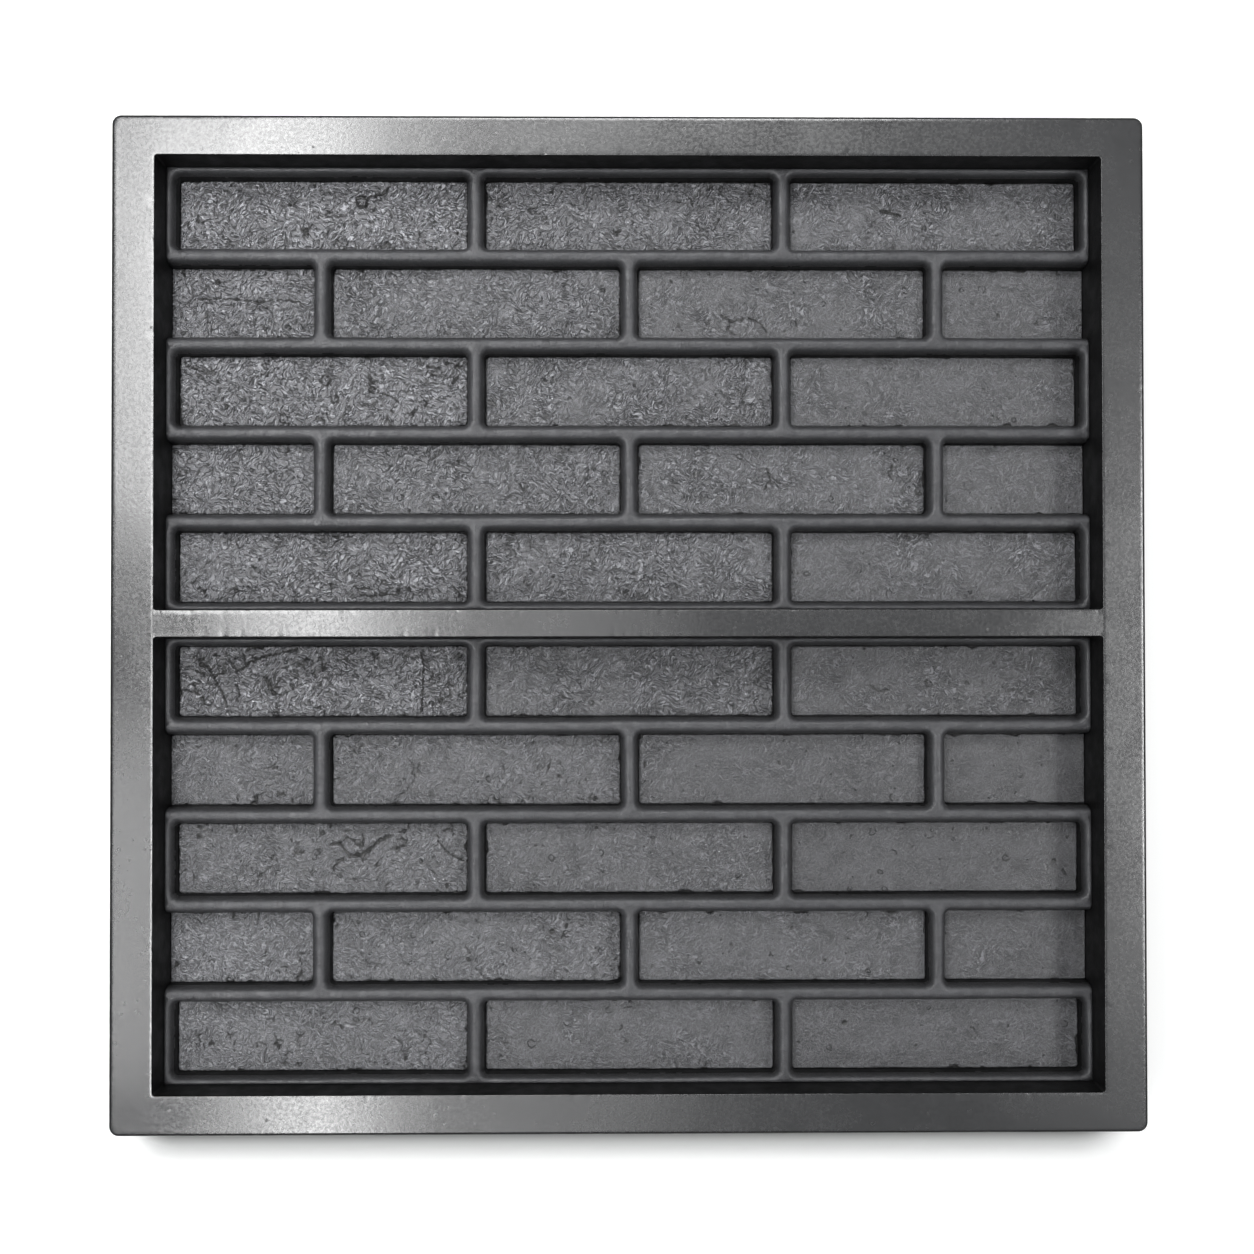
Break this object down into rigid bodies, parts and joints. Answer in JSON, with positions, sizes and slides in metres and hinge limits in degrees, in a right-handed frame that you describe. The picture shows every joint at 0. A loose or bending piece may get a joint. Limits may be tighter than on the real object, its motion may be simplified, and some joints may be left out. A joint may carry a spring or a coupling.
{
  "type": "brick pattern concrete stamp mat",
  "caption": "Square framed mat with two recessed brick-bond relief trays that mould or stamp a brick pattern into concrete or plaster.",
  "frame": {"origin": "middle of the backing board's back face, on the surface the mat lies on", "axes": "+Z out of the brick pattern, +X along the brick courses, +Y across them"},
  "size_m": [0.852, 0.838, 0.066],
  "materials": {
    "frame_polyurethane": "smooth satin, graphite black rigid polyurethane with fine scratches",
    "mat_rubber": "dull satin, graphite black elastomer with a rough cast brick texture",
    "board_wood": "dark brown film-faced plywood with plain edges",
    "screw_steel": "zinc plated, dull",
    "insert_brass": "turned brass"
  },
  "bodies": {
    "root": {"outer_frame": "frame_polyurethane", "divider_bar": "frame_polyurethane", "upper_brick_mat": "mat_rubber", "lower_brick_mat": "mat_rubber", "backing_board": "board_wood", "frame_screws": "screw_steel", "frame_inserts": "insert_brass", "divider_screws": "screw_steel", "divider_inserts": "insert_brass"}
  },
  "joints": []
}
